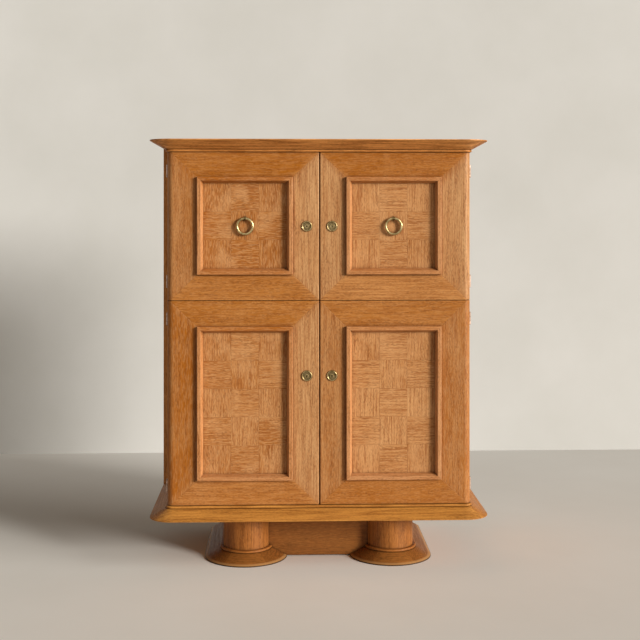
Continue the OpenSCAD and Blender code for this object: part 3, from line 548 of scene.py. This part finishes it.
def screws(name, body, metal, spots):
    """Screw heads at points of a plate, each with the direction it faces."""
    mesh = bmesh.new()
    for i, (place, outward) in enumerate(spots):
        turn = Matrix.Translation(place) @ outward.to_track_quat("Z", "Y").to_matrix().to_4x4()
        turn = turn @ Matrix.Rotation(FIRST_TURN + NEXT_TURN * i, 4, "Z")
        for side in (-1, 1):
            shape = ((HEAD_R, -HEAD_DEPTH), (HEAD_R, 0), (CROWN_R, HEAD_PROUD))
            rings = [half_disc(radius, side, height, turn) for radius, height in shape]
            add_prism(mesh, rings, material_index=0)
        corners = ((-1, -1), (1, -1), (1, 1), (-1, 1))
        rings = [[turn @ Vector((SLOT_REACH * x, SLOT_W / 2 * y, height)) for x, y in corners]
                 for height in (-HEAD_DEPTH, SLOT_FILL_PROUD)]
        add_prism(mesh, rings, material_index=1)
    bmesh.ops.recalc_face_normals(mesh, faces=mesh.faces)
    data = bpy.data.meshes.new(name)
    mesh.to_mesh(data)
    mesh.free()
    data.materials.append(metal)
    data.materials.append(slot_brass)
    piece = bpy.data.objects.new(name, data)
    bpy.context.scene.collection.objects.link(piece)
    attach(piece, body)


def leaf_spots(low, high, leaf_y, outward):
    """Three screws in each of the two hinge leaves at one side of a door."""
    side = 1 if low.x > 0 else -1
    for foot in (low.z, high.z - LEAF_H):
        for x, z in LEAF_SCREWS:
            yield Vector((side * x, leaf_y, foot + z)), outward


def corner_spots(low, high, margin_x, margin_z, plate_y):
    """Four screws near the corners of a plate on the back of a door."""
    for x in (low.x + margin_x, high.x - margin_x):
        for z in (low.z + margin_z, high.z - margin_z):
            yield Vector((x, plate_y, z)), OUT_BACK


def strike_spots(low, high):
    """Two screws near the ends of a strike plate, in the edge of a door."""
    for z in (low.z + STRIKE_MARGIN, high.z - STRIKE_MARGIN):
        yield Vector((high.x, (low.y + high.y) / 2, z)), OUT_RIGHT


carcass_spots = []
for level, side in DOORS:
    door_body = f"{level}_{side}_door"
    low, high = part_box(f"{level}_{side}_hinge_leaves")
    spots = list(leaf_spots(low, high, DOOR_LEAF_Y, OUT_BACK))
    carcass_spots += leaf_spots(low, high, CARCASS_LEAF_Y, OUT_FRONT)
    if side == "left":
        spots += corner_spots(*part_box(f"{level}_bolt_plate"), BOLT_MARGIN_X, BOLT_MARGIN_Z, BOLT_PLATE_Y)
        spots += strike_spots(*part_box(f"{level}_strike_plate"))
    else:
        low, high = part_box(f"{level}_lock_case")
        lock_spots = corner_spots(low, high, LOCK_MARGIN, LOCK_MARGIN, high.y)
        screws(f"{level}_lock_screws", door_body, steel, lock_spots)
    screws(f"{door_body}_screws", door_body, hinge_brass, spots)
screws("carcass_screws", "cabinet", hinge_brass, carcass_spots)


# Stage

# Sizes of the floor and the wall, whose foot is where the photograph has it
WALL_Y = 1.62
WALL_H = 6.0
FLOOR_REACH = 9.0
STAGE_W = 18.0


def mineral_coat(name, darker, paler, patch_mm, backdrop=False):
    """Matt mineral coat, such as limewash on plaster or sealer on screed, faintly cloudy. A
    backdrop is there only for the eye and for reflections, from its front: it neither lights nor
    shades, so that the cabinet's back can be looked at."""
    material, tree = new_material(name)
    place = add(tree, "TexCoord", out="Object")
    patches = cloud(tree, place, patch_mm, patch_mm, low=0.3, high=0.7, detail=4)
    colour = add(tree, "Mix", {
        "Factor_Float": patches, "A_Color": linear(darker), "B_Color": linear(paler)},
        out="Result_Color", data_type="RGBA")
    surface = add(tree, "BsdfDiffuse", {"Color": colour})
    if backdrop:
        behind = add(tree, "NewGeometry", out="Backfacing")
        ray = add(tree, "LightPath").node.outputs
        seen = add(tree, "Math", (ray["Is Camera Ray"], ray["Is Glossy Ray"]), operation="MAXIMUM")
        shown = add(tree, "Math", (seen, behind), operation="GREATER_THAN")
        surface = add(tree, "MixShader", (shown, add(tree, "BsdfTransparent"), surface))
    add(tree, "OutputMaterial", {"Surface": surface})
    return material


def stage_sheet(name, near, far, material):
    """A flat rectangle as wide as the stage, between two lines along X, each given in Y and Z."""
    mesh = bpy.data.meshes.new(name)
    points = [(side * STAGE_W / 2, y, z) for y, z in (near, far) for side in (-1, 1)]
    mesh.from_pydata(points, [], [(0, 1, 3, 2)])
    mesh.materials.append(material)
    sheet = bpy.data.objects.new(name, mesh)
    bpy.context.scene.collection.objects.link(sheet)


stage_sheet("floor", (-FLOOR_REACH, 0), (FLOOR_REACH, 0), mineral_coat(
    "pale sealed floor", "#eee9e0", "#f3efe7", patch_mm=700))
stage_sheet("wall", (WALL_Y, 0), (WALL_Y, WALL_H), mineral_coat(
    "pale limewashed wall", "#cbc9c3", "#d2d0cb", patch_mm=500, backdrop=True))


# Light

# The room lights the cabinet softly and a little warmly, and looks pale behind it and in its brass
ROOM_LIGHT = 0.18
ROOM_TINT = linear("#f6eadb")
SEEN_LIGHT = 0.8
SEEN_TINT = linear("#f6f5f3")
WINDOW_TINT = linear("#fffdf9")

world = bpy.data.worlds.new("soft room light")
world.use_nodes = True
world_tree = world.node_tree
world_tree.nodes.clear()
ray = add(world_tree, "LightPath").node.outputs
seen = add(world_tree, "Math", (ray["Is Camera Ray"], ray["Is Glossy Ray"]), operation="MAXIMUM")
seen = add(world_tree, "Math", (seen, ray["Is Transmission Ray"]), operation="MAXIMUM")
glow = add(world_tree, "MapRange", {"Value": seen, "To Min": ROOM_LIGHT, "To Max": SEEN_LIGHT})
tint = add(world_tree, "Mix", {"Factor_Float": seen, "A_Color": ROOM_TINT, "B_Color": SEEN_TINT},
           out="Result_Color", data_type="RGBA")
room = add(world_tree, "Background", {"Color": tint, "Strength": glow})
add(world_tree, "OutputWorld", {"Surface": room})
bpy.context.scene.world = world


def soft_sun(name, azimuth, elevation, width, strength):
    """Even light from a round patch of sky that many degrees wide, to the right of the front and
    above the floor."""
    light = bpy.data.lights.new(name, "SUN")
    light.angle = math.radians(width)
    light.energy = strength
    light.color = WINDOW_TINT[:3]
    lamp = bpy.data.objects.new(name, light)
    turn = math.radians(azimuth)
    lift = math.radians(elevation)
    away = Vector((math.sin(turn) * math.cos(lift), -math.cos(turn) * math.cos(lift), math.sin(lift)))
    lamp.rotation_euler = away.to_track_quat("Z", "Y").to_euler()
    bpy.context.scene.collection.objects.link(lamp)


soft_sun("near window", azimuth=51, elevation=13, width=15, strength=3.17)
soft_sun("far window", azimuth=68, elevation=19, width=34, strength=1.80)


# Camera

# The photograph's own perspective: focal length, picture and height of the horizon in pixels, and
# how far the camera is turned to the right
FOCAL_PX = 1150
PICTURE_PX = 640
HORIZON_PX = 216
SENSOR_MM = 36
YAW = math.radians(1.95)
CAMERA_PLACE = (-0.127, -3.989, 1.150)

lens = bpy.data.cameras.new("camera")
lens.sensor_width = SENSOR_MM
lens.lens = FOCAL_PX / PICTURE_PX * SENSOR_MM
lens.shift_y = (HORIZON_PX - PICTURE_PX / 2) / PICTURE_PX
camera = bpy.data.objects.new("camera", lens)
camera.location = CAMERA_PLACE
camera.rotation_euler = (math.radians(90), 0, -YAW)
bpy.context.scene.collection.objects.link(camera)
bpy.context.scene.camera = camera
bpy.context.scene.view_settings.view_transform = "Standard"
